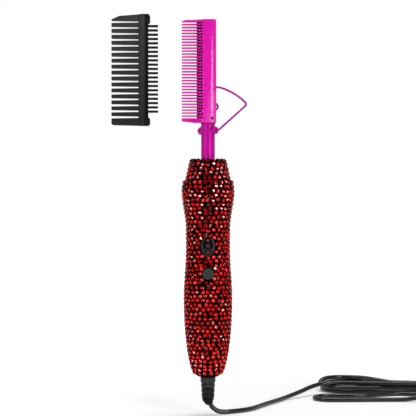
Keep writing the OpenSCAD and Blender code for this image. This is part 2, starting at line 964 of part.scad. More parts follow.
module stones_back() {
    color("#e00a14")
        difference() {
            union() {
                half_turn(1)
                    backing_profile();
                stone_rows(1);
            }
            under_stones();
        }
}

module window_frame() {
    color("#3c3e42")
        difference() {
            window_prism(frame_w, window_front - window_t - frame_rise, window_front + frame_rise);
            window_prism(seat_gap, window_front - window_t - 1, window_front + 1);
        }
}

module light_window() {
    color("#101214")
        difference() {
            union() {
                window_prism(0, window_front - window_t, window_front);
                window_prism(-frame_w, window_front - eps, window_front + window_crown);
            }
            for (i = [-1:1])
                bar_y(
                    led_r + seat_gap, 0, z_window + i * led_pitch,
                    window_front - window_t - 1, window_front + 1
                );
        }
}

module indicator_leds() {
    color("#8a1218")
        for (i = [-1:1])
            translate([0, -board_front, z_window + i * led_pitch])
                rotate([90, 0, 0])
                    rotate_extrude()
                        led_profile();
}

module led_profile() {
    body = led_front - led_r - board_front;
    polygon(concat(
        [[0, 0], [led_r, 0]],
        [for (a = [0:15:90]) [led_r * cos(a), body + led_r * sin(a)]]
    ));
}

module power_button() {
    color("#2e3234") {
        bar_y(button_r, 0, z_button, flange_front - flange_t, button_front - button_step);
        bar_y(button_r - button_step, 0, z_button, button_front - button_step - eps, button_front);
        bar_y(flange_r, 0, z_button, flange_front - flange_t, flange_front);
        bar_y(stem_r, 0, z_button, plunger_front, flange_front - flange_t + eps);
    }
}

module switch_plunger() {
    color("#d8d4c8")
        bar_y(plunger_r, 0, z_button, plunger_front - plunger_len, plunger_front);
}

module tact_switch() {
    color("#222222")
        difference() {
            translate([-switch_size / 2, -board_front - switch_depth, z_button - switch_size / 2])
                cube([switch_size, switch_depth, switch_size]);
            bar_y(
                plunger_r + plunger_play, 0, z_button,
                plunger_front - plunger_len - button_travel - 2 * plunger_play, plunger_front + 1
            );
        }
}

module circuit_board() {
    color("#1e6b3a")
        difference() {
            translate([-board_w / 2, -board_front, board_low])
                cube([board_w, board_t, board_high - board_low]);
            for (z = board_screws_z)
                bar_y(board_screw_r + screw_play, 0, z, board_front - board_t - 1, board_front + 1);
        }
}

// Behind the board: the controller, a relay, a capacitor and a coil
module board_parts() {
    color("#30343a") {
        translate([-chip_w / 2, part_back, z_window - chip_w - chip_w / 2])
            cube([chip_w, chip_t, 1.5 * chip_w]);
        translate([-relay[0] - part_gap, part_back, z_button - relay[1] - relay[2]])
            cube(relay);
        translate([part_gap, part_back, z_button - relay[1] - relay[2]])
            cube([relay[0], relay[1] / 2, relay[2]]);
        bar_y(cap_r, cap_r + part_gap, board_high - cap_drop, -cap_len - part_back, -part_back);
    }
}

module board_screws() {
    color("#8a8a8e")
        for (z = board_screws_z) {
            bar_y(board_screw_r, 0, z, board_front - board_t, board_front + board_screw_len);
            bar_y(
                board_screw_r + board_screw_head, 0, z,
                board_front - board_t - board_screw_head_h, board_front - board_t
            );
        }
}

// Two wires from the heater, down the neck, to the back of the board
module heater_leads() {
    color("#d8d8d8")
        for (side = [-1, 1])
            tube(
                [
                    [-lead_x, side * lead_y, core_low + lead_grip],
                    [-lead_x, side * lead_y, neck_low - lead_out],
                    [
                        -solder_x - side * lead_step, side * lead_step - lead_y - lead_r,
                        board_high + lead_bend
                    ],
                    [-solder_x - side * lead_step, part_back + lead_r, board_high + lead_out],
                    [-solder_x - side * lead_step, part_back + lead_r, board_high - solder_len]
                ],
                lead_r, cord_sides, [1, 0.2, 0]
            );
}

// Two wires from the brush holder, past the lower screw, to the back of the board
module power_leads() {
    color("#303030")
        for (side = [-1, 1])
            tube(
                [
                    [side * (holder_w / 2 - holder_lip), holder_y + holder_t / 2, holder_top],
                    [side * (holder_w / 2 - holder_lip), holder_y + holder_t / 2, holder_top + power_rise],
                    [side * lead_turn_x, holder_y - lead_air, board_low - 3 * solder_len],
                    [side * lead_turn_x, 0, board_low - solder_len],
                    [side * lead_turn_x, part_back + lead_r, board_low + solder_len / 2],
                    [side * lead_turn_x, part_back + lead_r, board_low + 1.5 * solder_len]
                ],
                lead_r, cord_sides, [1, 0.2, 0]
            );
}

// The brush holder stands on the handle's end wall, clear of the swivel's flange
module brush_holder() {
    color("#e6e2d6") {
        translate([-holder_w / 2, foot_y, z_end + end_wall])
            cube([holder_w, holder_y + holder_t - foot_y - holder_step, holder_top - z_end - end_wall]);
        translate([-holder_w / 2, holder_y, ring_low - holder_lip])
            cube([holder_w, holder_t, holder_top - ring_low + holder_lip]);
    }
}

module contact_brushes() {
    color("#b08040")
        for (i = [0, 1])
            translate([-brush_w / 2, holder_y - brush_l, ring_low + i * ring_step + ring_h / 4])
                cube([brush_w, brush_l, ring_h / 2]);
}

module contact_rings() {
    color("#c8a050")
        for (i = [0, 1])
            translate([0, 0, ring_low + i * ring_step])
                difference() {
                    cylinder(r = ring_r, h = ring_h);
                    translate([0, 0, -eps])
                        cylinder(r = bush_stem_r, h = ring_h + 2 * eps);
                }
}

module swivel_bush() {
    color("#2a2a2a")
        difference() {
            union() {
                translate([0, 0, collar_top])
                    cylinder(r = journal_r, h = z_end + end_wall + flange_gap - collar_top);
                translate([0, 0, z_end + end_wall + flange_gap])
                    cylinder(r = bush_flange_r, h = bush_flange_h);
                translate([0, 0, z_end + end_wall + flange_gap])
                    cylinder(r = bush_stem_r, h = stem_top - z_end - end_wall - flange_gap);
            }
            translate([0, 0, collar_top - eps])
                cylinder(r = cord_d / 2, h = stem_top - collar_top + 2 * eps);
        }
}

// Strain relief: a collar, a ribbed taper with alternate slots, and a leaning tail
module strain_relief() {
    color("#333333") {
        difference() {
            union() {
                translate([0, 0, collar_low])
                    cylinder(r = collar_r, h = collar_h);
                translate([0, 0, collar_low - relief_len])
                    cylinder(r1 = relief_r, r2 = collar_r - tail_step, h = relief_len);
                translate([0, 0, collar_low - relief_len])
                    relief_tail();
            }
            relief_ring(-rib_gap / 2, collar_r - rib_depth / 2);
            for (i = [1, 3])
                relief_ring(rib_start + i * rib_pitch, relief_r - rib_depth);
            for (i = [0, 2], side = [-1, 1])
                relief_side_slot(rib_start + i * rib_pitch, side);
        }
    }
}

// A groove all the way round, its depth below the collar given
module relief_ring(depth, core_r) {
    translate([0, 0, collar_low - depth - rib_gap])
        difference() {
            cylinder(r = collar_r + 1, h = rib_gap);
            translate([0, 0, -eps])
                cylinder(r = core_r, h = rib_gap + 2 * eps);
        }
}

// A pair of slots that leave a web in the middle
module relief_side_slot(depth, side) {
    translate([side * (collar_r + side_slot_x), 0, collar_low - depth - rib_gap / 2])
        cube([collar_r, 2 * collar_r + 2, rib_gap], center = true);
}

module relief_tail() {
    rotate([0, 180 - tail_lean, 0])
        translate([0, 0, -tail_lap])
            cylinder(r1 = relief_r - tail_step, r2 = cord_d / 2 + tail_skin, h = tail_len + tail_lap);
}

module cord() {
    color("#2b2b2b")
        for (route = [cord_route, end_route])
            tube(route, cord_d / 2, cord_sides, [0.3, 1, 0.2]);
}

module hank_outline() {
    hull()
        for (lobe = hank_lobes)
            translate([lobe[0], lobe[1]])
                circle(lobe[2], $fn = 32);
}

module cord_hank() {
    color("#2b2b2b")
        translate([0, 0, floor_z])
            linear_extrude(hank_h)
                hank_outline();
}

// The tie: a strap over the hank and down both its sides
module cord_tie() {
    color("#111111")
        translate([tie_x, hank_front - tie_gap - tie_t, floor_z])
            difference() {
                cube([tie_w, hank_back - hank_front + 2 * (tie_gap + tie_t), hank_h + tie_gap + tie_t]);
                translate([-1, tie_t, -1])
                    cube([tie_w + 2, hank_back - hank_front + 2 * tie_gap, hank_h + tie_gap + 1]);
            }
}

module plug_relief() {
    color("#222222")
        translate([plug_x, plug_y, plug_z])
            rotate([0, 90, 0])
                cylinder(r1 = cord_d / 2 + plug_neck_skin, r2 = plug_neck_r, h = plug_relief_len);
}

module plug_body() {
    color("#222222")
        translate([plug_x + plug_relief_len, plug_y, plug_z])
            rotate([0, 90, 0])
                linear_extrude(plug_len)
                    plug_section();
}

module plug_section() {
    for (x = [-1, 1], y = [-1, 1])
        translate([x * (plug_t / 2 - plug_corner), y * (plug_w / 2 - plug_corner)])
            circle(plug_corner);
    square([plug_t, plug_w - 2 * plug_corner], center = true);
    square([plug_t - 2 * plug_corner, plug_w], center = true);
}

module plug_blades() {
    color("#c8c8cc")
        for (side = [-1, 1])
            translate([
                plug_x + plug_relief_len + plug_len,
                plug_y + side * blade_gap / 2 - blade_t / 2,
                plug_z - blade_w / 2
            ])
                difference() {
                    cube([blade_len, blade_t, blade_w]);
                    translate([blade_len - blade_hole_in, -1, blade_w / 2])
                        rotate([-90, 0, 0])
                            cylinder(r = blade_hole_r, h = blade_t + 2);
                }
}

module guard_comb() {
    color("#242426")
        difference() {
            union() {
                guard_plate();
                translate([long_root_x + guard_lap, -spine_t, guard_low])
                    cube([spine_w - guard_lap, 2 * spine_t, guard_high - guard_low]);
                translate([lip_x - guard_lap, 0, guard_low + block_low])
                    cube([
                        short_root_x - lip_x + guard_lap, spine_t,
                        guard_high - guard_low - block_low - block_high
                    ]);
                guard_block(guard_low, guard_low + block_low);
                guard_block(guard_high - block_high, guard_high);
                for (i = [0:short_count - 1])
                    translate([
                        short_root_x - guard_lap, short_front,
                        guard_mid + short_rise + (i - (short_count - 1) / 2) * short_pitch - short_w / 2
                    ])
                        cube([short_tooth + guard_lap, short_back - short_front, short_w]);
            }
            translate([channel_x, -channel_t, z_head - slide_gap])
                cube([2 * tip_x, 2 * channel_t, head_len + 2 * slide_gap]);
            for (i = [0:long_gaps - 1])
                long_gap(guard_mid + long_rise + (i - (long_gaps - 1) / 2) * long_pitch);
        }
}

// A block at an end of the guard, its outer corners cut off
module guard_block(low, high) {
    rotate([90, 0, 0])
        translate([0, 0, -spine_t])
            linear_extrude(2 * spine_t)
                polygon([
                    [lip_x - guard_lap, low], [block_x - block_ease, low], [block_x, low + block_ease],
                    [block_x, high - block_ease], [block_x - block_ease, high], [lip_x - guard_lap, high]
                ]);
}

// The long teeth before the gaps are cut: a plate with its upper tip sloped and its lower one eased
module guard_plate() {
    rotate([90, 0, 0])
        translate([0, 0, -tooth_half])
            linear_extrude(2 * tooth_half)
                polygon([
                    [long_root_x + 2 * guard_lap, guard_low],
                    [long_tip_x + guard_lap, guard_low + 0.6 * guard_lap],
                    [long_tip_x, guard_low + 1.6 * guard_lap], [long_tip_x, guard_high - tip_drop],
                    [long_tip_x + tip_run, guard_high - tip_drop / 3],
                    [long_root_x + 2 * guard_lap, guard_high]
                ]);
}

module long_gap(z) {
    rotate([90, 0, 0])
        translate([0, 0, -spine_t - 1])
            linear_extrude(2 * spine_t + 2)
                polygon([
                    [long_tip_x - 1, z - gap_tip_w / 2], [long_root_x, z - gap_root_w / 2],
                    [long_root_x, z + gap_root_w / 2], [long_tip_x - 1, z + gap_tip_w / 2]
                ]);
}

comb_head();
heater_core();
thermistor();
head_screw();
neck_tube();
neck_collar();
hinge_bosses();
stand_wire();
neck_bush();
top_cone();
cone_stones();
handle_front();
handle_back();
stones_front();
stones_back();
handle_screws();
window_frame();
light_window();
indicator_leds();
power_button();
switch_plunger();
tact_switch();
circuit_board();
board_parts();
board_screws();
heater_leads();
power_leads();
brush_holder();
contact_brushes();
contact_rings();
swivel_bush();
strain_relief();
cord();
cord_hank();
cord_tie();
plug_relief();
plug_body();
plug_blades();
guard_comb();
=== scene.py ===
import math
import random

import bpy
from mathutils import Matrix, Vector


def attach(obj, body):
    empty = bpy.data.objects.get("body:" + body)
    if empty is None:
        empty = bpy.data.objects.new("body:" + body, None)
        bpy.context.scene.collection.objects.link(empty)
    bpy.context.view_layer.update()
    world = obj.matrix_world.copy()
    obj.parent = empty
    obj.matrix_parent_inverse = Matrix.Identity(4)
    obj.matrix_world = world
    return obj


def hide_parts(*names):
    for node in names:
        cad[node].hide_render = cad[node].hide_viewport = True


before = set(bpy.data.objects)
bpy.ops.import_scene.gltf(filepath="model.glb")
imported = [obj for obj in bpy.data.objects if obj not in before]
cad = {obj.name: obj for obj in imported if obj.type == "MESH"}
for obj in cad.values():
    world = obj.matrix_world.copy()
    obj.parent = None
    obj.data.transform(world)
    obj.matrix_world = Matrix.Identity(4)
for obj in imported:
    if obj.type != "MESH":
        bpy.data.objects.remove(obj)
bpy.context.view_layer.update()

bpy.ops.object.select_all(action="DESELECT")


# Studio: the comb hangs before a white ground, its lead on a white table top. A tall strip light stands
# left of the camera and a tall soft box right of it, each with a narrow strip farther out, and a broad
# box hangs overhead and draws the light line along the lead.
def linear(code):
    """An sRGB hex colour as the linear numbers that a socket takes."""
    parts = [int(code[i:i + 2], 16) / 255 for i in (1, 3, 5)]
    return [c / 12.92 if c <= 0.04045 else ((c + 0.055) / 1.055) ** 2.4 for c in parts] + [1.0]


def new_finish(name):
    """An empty material, named for what the real one is."""
    finish = bpy.data.materials.new(name)
    finish.use_nodes = True
    finish.node_tree.nodes.clear()
    return finish


def put(owner, kind, sockets=None, **settings):
    """Adds a shader node with its settings; a socket is given a value or another node's output."""
    node = owner.node_tree.nodes.new("ShaderNode" + kind)
    for name, value in settings.items():
        setattr(node, name, value)
    for name, value in (sockets or {}).items():
        if isinstance(value, bpy.types.NodeSocket):
            owner.node_tree.links.new(value, node.inputs[name])
        else:
            node.inputs[name].default_value = value
    return node


view_width = 0.3328
eye_distance, eye_height = 1, 0.064
sensor_width = 36
bpy.ops.object.camera_add(location=(0, -eye_distance, eye_height), rotation=(math.pi / 2, 0, 0))
camera = bpy.context.object
camera.data.sensor_width = sensor_width
camera.data.lens = sensor_width / view_width
bpy.context.scene.camera = camera
bpy.context.scene.view_settings.view_transform = "Standard"


def seen_ray(owner):
    """One on rays from the camera, off a mirror or through glass, and zero on those that only light."""
    path = put(owner, "LightPath")
    first = put(owner, "Math", {0: path.outputs["Is Camera Ray"], 1: path.outputs["Is Glossy Ray"]},
                operation="MAXIMUM")
    both = put(owner, "Math", {0: first.outputs[0], 1: path.outputs["Is Transmission Ray"]},
               operation="MAXIMUM")
    return both.outputs[0]


world = bpy.data.worlds.new("white studio")
bpy.context.scene.world = world
world.use_nodes = True
world.node_tree.nodes.clear()

# The camera sees plain white, a mirror sees a dim room with a paler wall ahead, and all else is lit softly.
soft_level, room_level, wall_level = 0.32, 0.1, 0.45
wall_starts, wall_full = -0.3, 0.5
way = put(world, "TexCoord")
ahead = put(world, "SeparateXYZ", {"Vector": way.outputs["Generated"]})
wall = put(world, "MapRange", {"Value": ahead.outputs["Y"], "From Min": wall_starts, "From Max": wall_full,
                               "To Min": room_level, "To Max": wall_level})
path = put(world, "LightPath")
mirror = put(world, "Mix", {0: path.outputs["Is Glossy Ray"], 2: 1.0, 3: wall.outputs["Result"]})
soft = put(world, "Background", {"Color": linear("#ffffff"), "Strength": soft_level})
white = put(world, "Background", {"Color": linear("#ffffff"), "Strength": mirror.outputs[0]})
both = put(world, "MixShader", {0: seen_ray(world), 1: soft.outputs[0], 2: white.outputs[0]})
put(world, "OutputWorld", {"Surface": both.outputs[0]})

table_z = -0.1014
table_size, table_back = 8, 2
bpy.ops.mesh.primitive_plane_add(size=table_size, location=(0, table_back, table_z))
table = bpy.context.object
table.name = "table_top"
bpy.ops.object.transform_apply(location=True, rotation=True, scale=True)

# Backdrop paper: matt white. It glows a little more away from the lead, where the lamps fall off.
near_glow, far_glow = 0.24, 0.84
glow_centre = (0.08, 0.05, table_z)
near_reach, far_reach = 0.12, 0.6
paper = new_finish("white backdrop paper")
spot = put(paper, "TexCoord")
away = put(paper, "VectorMath", {0: spot.outputs["Object"], 1: glow_centre}, operation="DISTANCE")
lift = put(paper, "MapRange", {"Value": away.outputs["Value"], "From Min": near_reach,
                               "From Max": far_reach, "To Min": near_glow, "To Max": far_glow})
glow = put(paper, "Math", {0: seen_ray(paper), 1: lift.outputs["Result"]}, operation="MULTIPLY")
paper_face = put(paper, "BsdfPrincipled", {
    "Base Color": linear("#e6e6e6"), "Roughness": 0.9, "Specular IOR Level": 0.1,
    "Emission Color": linear("#ffffff"), "Emission Strength": glow.outputs[0]})
put(paper, "OutputMaterial", {"Surface": paper_face.outputs[0]})
table.data.materials.append(paper)

for name, place, aim, size, watts in (
    ("left strip light", (-0.60, -0.80, 0.16), (0, 0, 0.16), (0.12, 0.8), 2.2),
    ("far left strip light", (-0.95, -0.42, 0.16), (0, 0, 0.16), (0.035, 0.8), 1.5),
    ("right soft box", (0.56, -0.84, 0.16), (0, 0, 0.16), (0.26, 0.8), 5.4),
    ("far right strip light", (0.90, -0.50, 0.16), (0, 0, 0.16), (0.035, 0.8), 0.6),
    ("overhead soft box", (0.05, 0.22, 0.95), (0.05, 0.02, -0.1), (0.7, 0.3), 6.0),
):
    bpy.ops.object.light_add(type="AREA", location=place)
    lamp = bpy.context.object
    lamp.name = name
    lamp.data.shape = "RECTANGLE"
    lamp.data.size, lamp.data.size_y = size
    lamp.data.energy = watts
    lamp.rotation_euler = (Vector(aim) - Vector(place)).to_track_quat("-Z", "Y").to_euler()


# Mains lead: two stranded wires in a round black PVC sheath, 3.8 mm thick and 1.8 m long. It leaves the
# relief, bends on to the table and runs right to a hank of folded turns, three layers high.
lead_d = 0.0038
low, middle, high = -0.0995, -0.0957, -0.0919

# The hank's straight runs lie side by side, between a fold at the left and one at the right.
front_run, second_run, inner_run, back_run = 0.109, 0.113, 0.117, 0.136
left_x, right_x = 0.124, 0.226
right_fold_y, wide_fold_r, tight_fold_r = 0.1245, 0.0155, 0.0115
left_fold_y, left_fold_r = 0.1315, 0.0225


def fold(x, y, radius, start, end, z0, z1, count):
    """Points on a hank's fold, between its two straight runs, from one layer to another."""
    points = []
    for i in range(1, count):
        t = i / count
        a = math.radians(start + (end - start) * t)
        rise = t * t * (3 - 2 * t)
        points.append((x + radius * math.cos(a), y + radius * math.sin(a), z0 + (z1 - z0) * rise))
    return points


route = [
    (0.001, 0, -0.091), (0.0017, 0.0002, -0.0926), (0.0034, 0.0006, -0.0952), (0.0057, 0.0011, -0.0973),
    (0.0085, 0.0017, -0.0988), (0.0126, 0.0028, low), (0.018, 0.0048, low), (0.024, 0.0082, low),
    (0.030, 0.0130, low), (0.036, 0.020, low), (0.042, 0.031, low), (0.048, 0.043, low),
    (0.054, 0.054, low), (0.060, 0.065, low), (0.065, 0.074, -0.0993), (0.070, 0.081, -0.0987),
    (0.076, 0.088, -0.0976), (0.083, 0.096, -0.0961), (0.090, 0.104, -0.0944), (0.097, 0.110, -0.093),
    (0.104, 0.1126, -0.092), (0.113, 0.114, high), (0.128, 0.1134, high), (0.145, 0.111, high),
    (0.158, 0.1094, high), (0.171, front_run, high), (0.188, front_run, high), (0.207, front_run, high),
    (right_x, front_run, high)]
route += fold(right_x, right_fold_y, wide_fold_r, -90, 90, high, low, 9)
route += [(right_x, 0.140, low), (0.200, 0.1436, low), (0.175, 0.147, low), (0.150, 0.1505, low),
          (left_x, 0.154, low)]
route += fold(left_x, 0.1335, 0.0205, 90, 270, low, low, 12)
route += [(left_x, second_run, low), (0.150, second_run, low), (0.175, second_run, low),
          (0.200, second_run, low), (0.220, second_run, low), (right_x, second_run, low)]

# Two loops, the second a layer higher and with its far run 3.6 mm farther back
for level, above, far_y in ((low, middle, 0.150), (middle, high, 0.1536)):
    climb = (above - level) / 38
    spread = (far_y - back_run) / 4
    left_r = (far_y - inner_run) / 2
    route += fold(right_x, right_fold_y, tight_fold_r, -90, 90, level, level, 8)
    route += [(right_x, back_run, level), (0.200, back_run + spread, level),
              (0.175, back_run + 2 * spread, level), (0.150, back_run + 3 * spread, level),
              (left_x, far_y, level)]
    route += fold(left_x, inner_run + left_r, left_r, 90, 270, level, level, 10)
    route += [(left_x, inner_run, level), (0.140, inner_run, level + 4 * climb),
              (0.156, 0.1166, level + 18 * climb), (0.172, 0.1152, level + 34 * climb),
              (0.188, second_run, above), (0.207, second_run, above), (0.220, second_run, above),
              (right_x, second_run, above)]
route += fold(right_x, right_fold_y, tight_fold_r, -90, 90, high, high, 8)
route += [(right_x, back_run, high), (0.212, 0.1352, -0.0929), (0.200, 0.134, -0.0948),
          (0.188, 0.1328, -0.0957), (0.178, 0.1322, -0.0953), (0.168, 0.1334, -0.0943),
          (0.159, 0.1368, -0.0932), (0.150, 0.1422, -0.0923), (0.142, 0.1478, high),
          (0.134, 0.1518, high), (left_x, 0.154, high)]
route += fold(left_x, left_fold_y, left_fold_r, 90, 120, high, high, 3)
route += fold(left_x, left_fold_y, left_fold_r, 120, 215, high, middle, 8)
route += fold(left_x, left_fold_y, left_fold_r, 215, 270, middle, middle, 4)
route += [(left_x, front_run, middle), (0.150, front_run, middle), (0.171, front_run, middle),
          (0.188, front_run, middle), (0.207, front_run, middle), (0.220, front_run, middle),
          (right_x, front_run, middle)]
route += fold(right_x, 0.0975, tight_fold_r, 90, -90, middle, low, 8)
route += [(right_x, 0.086, low), (0.216, 0.0872, low), (0.206, 0.0895, low), (0.197, 0.092, low),
          (0.187, 0.095, low), (0.178, 0.098, low), (0.169, 0.0995, low), (0.160, 0.0982, low),
          (0.151, 0.0948, low), (0.142, 0.0912, low), (0.133, 0.0892, low), (0.122, 0.0886, low),
          (0.1036, 0.0886, low)]
route += fold(0.1036, 0.0769, 0.0117, 90, 270, low, low, 8)
route += [(0.1036, 0.0652, low), (0.118, 0.0652, low), (0.129, 0.0656, low), (0.140, 0.0662, low),
          (0.150, 0.0665, low), (0.158, 0.0666, low), (0.166, 0.0665, -0.0994),
          (0.172, 0.0662, -0.0989), (0.178, 0.0655, -0.0978), (0.184, 0.0646, -0.0962),
          (0.190, 0.0634, -0.0946), (0.197, 0.0622, -0.0935)]

sheath_line = bpy.data.curves.new("mains_lead", "CURVE")
sheath_line.dimensions = "3D"
sheath_line.bevel_depth = lead_d / 2
sheath_line.bevel_resolution = 4
sheath_line.resolution_u = 5
sheath_line.use_fill_caps = True
line = sheath_line.splines.new("BEZIER")
line.bezier_points.add(len(route) - 1)
for point, place in zip(line.bezier_points, route):
    point.co = place
    point.handle_left_type = point.handle_right_type = "AUTO"
mains_lead = bpy.data.objects.new("mains_lead", sheath_line)
bpy.context.collection.objects.link(mains_lead)

# Extruded PVC: satin black, with a faint orange peel in 1.1 mm dents and paler scuffs 14 mm across.
peel_per_metre, scuffs_per_metre = 900.0, 70.0
pvc = new_finish("extruded black PVC sheath")
place = put(pvc, "TexCoord")
peel = put(pvc, "TexNoise", {"Vector": place.outputs["Object"], "Scale": peel_per_metre, "Detail": 3.0})
scuff = put(pvc, "TexNoise", {"Vector": place.outputs["Object"], "Scale": scuffs_per_metre, "Detail": 5.0})
tone = put(pvc, "ValToRGB", {"Fac": scuff.outputs["Fac"]})
tone.color_ramp.elements[0].position, tone.color_ramp.elements[0].color = 0.35, linear("#0f0f0f")
tone.color_ramp.elements[1].position, tone.color_ramp.elements[1].color = 0.75, linear("#1b1b1b")
dent = put(pvc, "Bump", {"Height": peel.outputs["Fac"], "Strength": 0.35, "Distance": 0.0001})
skin = put(pvc, "BsdfPrincipled", {
    "Base Color": tone.outputs["Color"], "Roughness": 0.22, "Specular IOR Level": 0.5,
    "Normal": dent.outputs["Normal"]})
put(pvc, "OutputMaterial", {"Surface": skin.outputs[0]})
mains_lead.data.materials.append(pvc)
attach(mains_lead, "lead")
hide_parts("cord", "cord_hank")


# Comb head: die-cast aluminium with 33 sawn slots, coated in a hot pink baked enamel that rounds its
# edges. It is one casting, pushed over the neck's upper end and fixed there by a small screw.
join_gap, flat_turn = 0.00001, 0.4


def eased(name, node, width, body, smooth=35):
    """A CAD node's copy with its triangles joined and its sharp edges rounded by a small bevel."""
    piece = bpy.data.objects.new(name, cad[node].data.copy())
    bpy.context.collection.objects.link(piece)
    piece.data.materials.clear()
    bpy.ops.object.select_all(action="DESELECT")
    bpy.context.view_layer.objects.active = piece
    piece.select_set(True)
    if piece.data.has_custom_normals:
        bpy.ops.mesh.customdata_custom_splitnormals_clear()
    bpy.ops.object.mode_set(mode="EDIT")
    bpy.ops.mesh.select_all(action="SELECT")
    bpy.ops.mesh.remove_doubles(threshold=join_gap)
    bpy.ops.mesh.dissolve_limited(angle_limit=math.radians(flat_turn))
    bpy.ops.object.mode_set(mode="OBJECT")
    if width:
        ease = piece.modifiers.new("eased edges", "BEVEL")
        ease.width = width
        ease.segments = 2
        ease.limit_method = "ANGLE"
        ease.angle_limit = math.radians(smooth)
        bpy.ops.object.modifier_apply(modifier=ease.name)
    bpy.ops.object.shade_smooth_by_angle(angle=math.radians(smooth))
    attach(piece, body)
    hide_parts(node)
    return piece


comb_head = eased("head_casting", "comb_head", 0.00025, "comb")

# Baked enamel: glossy hot pink with a fine orange peel. The tooth plate is a shade deeper than the round
# body and shines less.
plate_ends_x, body_starts_x = -0.0075, -0.0015
orange_peel_per_metre, wear_per_metre = 1400.0, 160.0
enamel = new_finish("hot pink baked enamel")
place = put(enamel, "TexCoord")
where = put(enamel, "SeparateXYZ", {"Vector": place.outputs["Object"]})
on_body = put(enamel, "MapRange", {"Value": where.outputs["X"], "From Min": plate_ends_x,
                                   "From Max": body_starts_x, "To Min": 0.0, "To Max": 1.0})
tone = put(enamel, "ValToRGB", {"Fac": on_body.outputs["Result"]})
tone.color_ramp.elements[0].color = linear("#dc0aa4")
tone.color_ramp.elements[1].color = linear("#e60cae")
orange_peel = put(enamel, "TexNoise", {"Vector": place.outputs["Object"], "Scale": orange_peel_per_metre,
                                      "Detail": 2.0})
wear = put(enamel, "TexNoise", {"Vector": place.outputs["Object"], "Scale": wear_per_metre, "Detail": 4.0})
gloss = put(enamel, "MapRange", {"Value": wear.outputs["Fac"], "To Min": 0.16, "To Max": 0.24})
shine = put(enamel, "MapRange", {"Value": on_body.outputs["Result"], "To Min": 0.05, "To Max": 0.5})
dent = put(enamel, "Bump", {"Height": orange_peel.outputs["Fac"], "Strength": 0.2, "Distance": 0.00006})
skin = put(enamel, "BsdfPrincipled", {
    "Base Color": tone.outputs["Color"], "Roughness": gloss.outputs["Result"],
    "Specular IOR Level": shine.outputs["Result"],
    "Normal": dent.outputs["Normal"]})
put(enamel, "OutputMaterial", {"Surface": skin.outputs[0]})
comb_head.data.materials.append(enamel)


# Heater in the head: a black fired ceramic core, seen as dark between the teeth, with a tan glazed
# sensor set in it. A blackened socket screw, sunk in the head's lower end, fixes the head to the neck.
def moulded(name, dark, light, roughness, grain=0.0012, depth=0.00004, specular=0.5):
    """A moulded or fired material: two close tones in a grain of that size, and a fine bump."""
    finish = new_finish(name)
    place = put(finish, "TexCoord")
    cloud = put(finish, "TexNoise", {"Vector": place.outputs["Object"], "Scale": 1 / grain, "Detail": 4.0})
    spark = put(finish, "TexNoise", {"Vector": place.outputs["Object"], "Scale": 6 / grain, "Detail": 2.0})
    tone = put(finish, "ValToRGB", {"Fac": cloud.outputs["Fac"]})
    tone.color_ramp.elements[0].position, tone.color_ramp.elements[0].color = 0.3, linear(dark)
    tone.color_ramp.elements[1].position, tone.color_ramp.elements[1].color = 0.7, linear(light)
    dent = put(finish, "Bump", {"Height": spark.outputs["Fac"], "Strength": 0.4, "Distance": depth})
    skin = put(finish, "BsdfPrincipled", {
        "Base Color": tone.outputs["Color"], "Roughness": roughness, "Specular IOR Level": specular,
        "Normal": dent.outputs["Normal"]})
    put(finish, "OutputMaterial", {"Surface": skin.outputs[0]})
    return finish


def shaded(finish, amount):
    """Darkens a finish's tone by an amount that varies over the piece: painted light and shade."""
    skin = next(n for n in finish.node_tree.nodes if n.type == "BSDF_PRINCIPLED")
    tone = skin.inputs["Base Color"].links[0].from_socket
    dark = put(finish, "VectorMath", {0: tone, "Scale": amount}, operation="SCALE")
    finish.node_tree.links.new(dark.outputs[0], skin.inputs["Base Color"])


def dress(node, finish):
    """A CAD node that stays as it is gets its material."""
    cad[node].data.materials.clear()
    cad[node].data.materials.append(finish)


# Fired ceramic: dull and near black, so that the slots end in the dark. The sensor's glaze is tan.
dress("heater_core", moulded("black fired ceramic", "#030303", "#080606", 0.7, specular=0.05))
dress("thermistor", moulded("tan glazed ceramic", "#a98452", "#c09a66", 0.35))
dress("head_screw", moulded("blackened steel", "#1a1618", "#2a2426", 0.4))


# Neck: a drawn steel tube with a seal ring at the head, enamelled in a deeper magenta with metal in it,
# and the two hinge bosses welded to it.
flakes_per_metre, clouds_per_metre = 3000.0, 300.0


def magenta_enamel(name, dark, light, edge):
    """Enamel full of metal flakes that lift the tone in fine specks; it deepens where it turns away."""
    finish = new_finish(name)
    place = put(finish, "TexCoord")
    flake = put(finish, "TexVoronoi", {"Vector": place.outputs["Object"], "Scale": flakes_per_metre})
    cloud = put(finish, "TexNoise", {"Vector": place.outputs["Object"], "Scale": clouds_per_metre,
                                      "Detail": 3.0})
    mixed = put(finish, "Math", {0: flake.outputs["Distance"], 1: cloud.outputs["Fac"]},
                operation="MULTIPLY")
    tone = put(finish, "ValToRGB", {"Fac": mixed.outputs[0]})
    tone.color_ramp.elements[0].position, tone.color_ramp.elements[0].color = 0.05, linear(dark)
    tone.color_ramp.elements[1].position, tone.color_ramp.elements[1].color = 0.45, linear(light)
    dent = put(finish, "Bump", {"Height": cloud.outputs["Fac"], "Strength": 0.15, "Distance": 0.00005})
    skin = put(finish, "BsdfPrincipled", {
        "Base Color": tone.outputs["Color"], "Metallic": 0.2, "Roughness": 0.24,
        "Specular Tint": linear(edge), "Normal": dent.outputs["Normal"]})
    put(finish, "OutputMaterial", {"Surface": skin.outputs[0]})
    return finish


# Flaked enamel: magenta, with tall light lines down the tube. The seal is dull and nearly black.
neck_finish = magenta_enamel("magenta metallic enamel", "#b4148e", "#cc1ca2", "#4a0030")
neck = eased("neck", "neck_tube", 0.0003, "comb")
neck.data.materials.append(neck_finish)
bosses = eased("bosses", "hinge_bosses", 0.00035, "comb")
bosses.data.materials.append(neck_finish)
ring = eased("neck_seal", "neck_collar", 0.0002, "comb")
ring.data.materials.append(moulded("dark silicone rubber", "#2a0820", "#3a1030", 0.5))

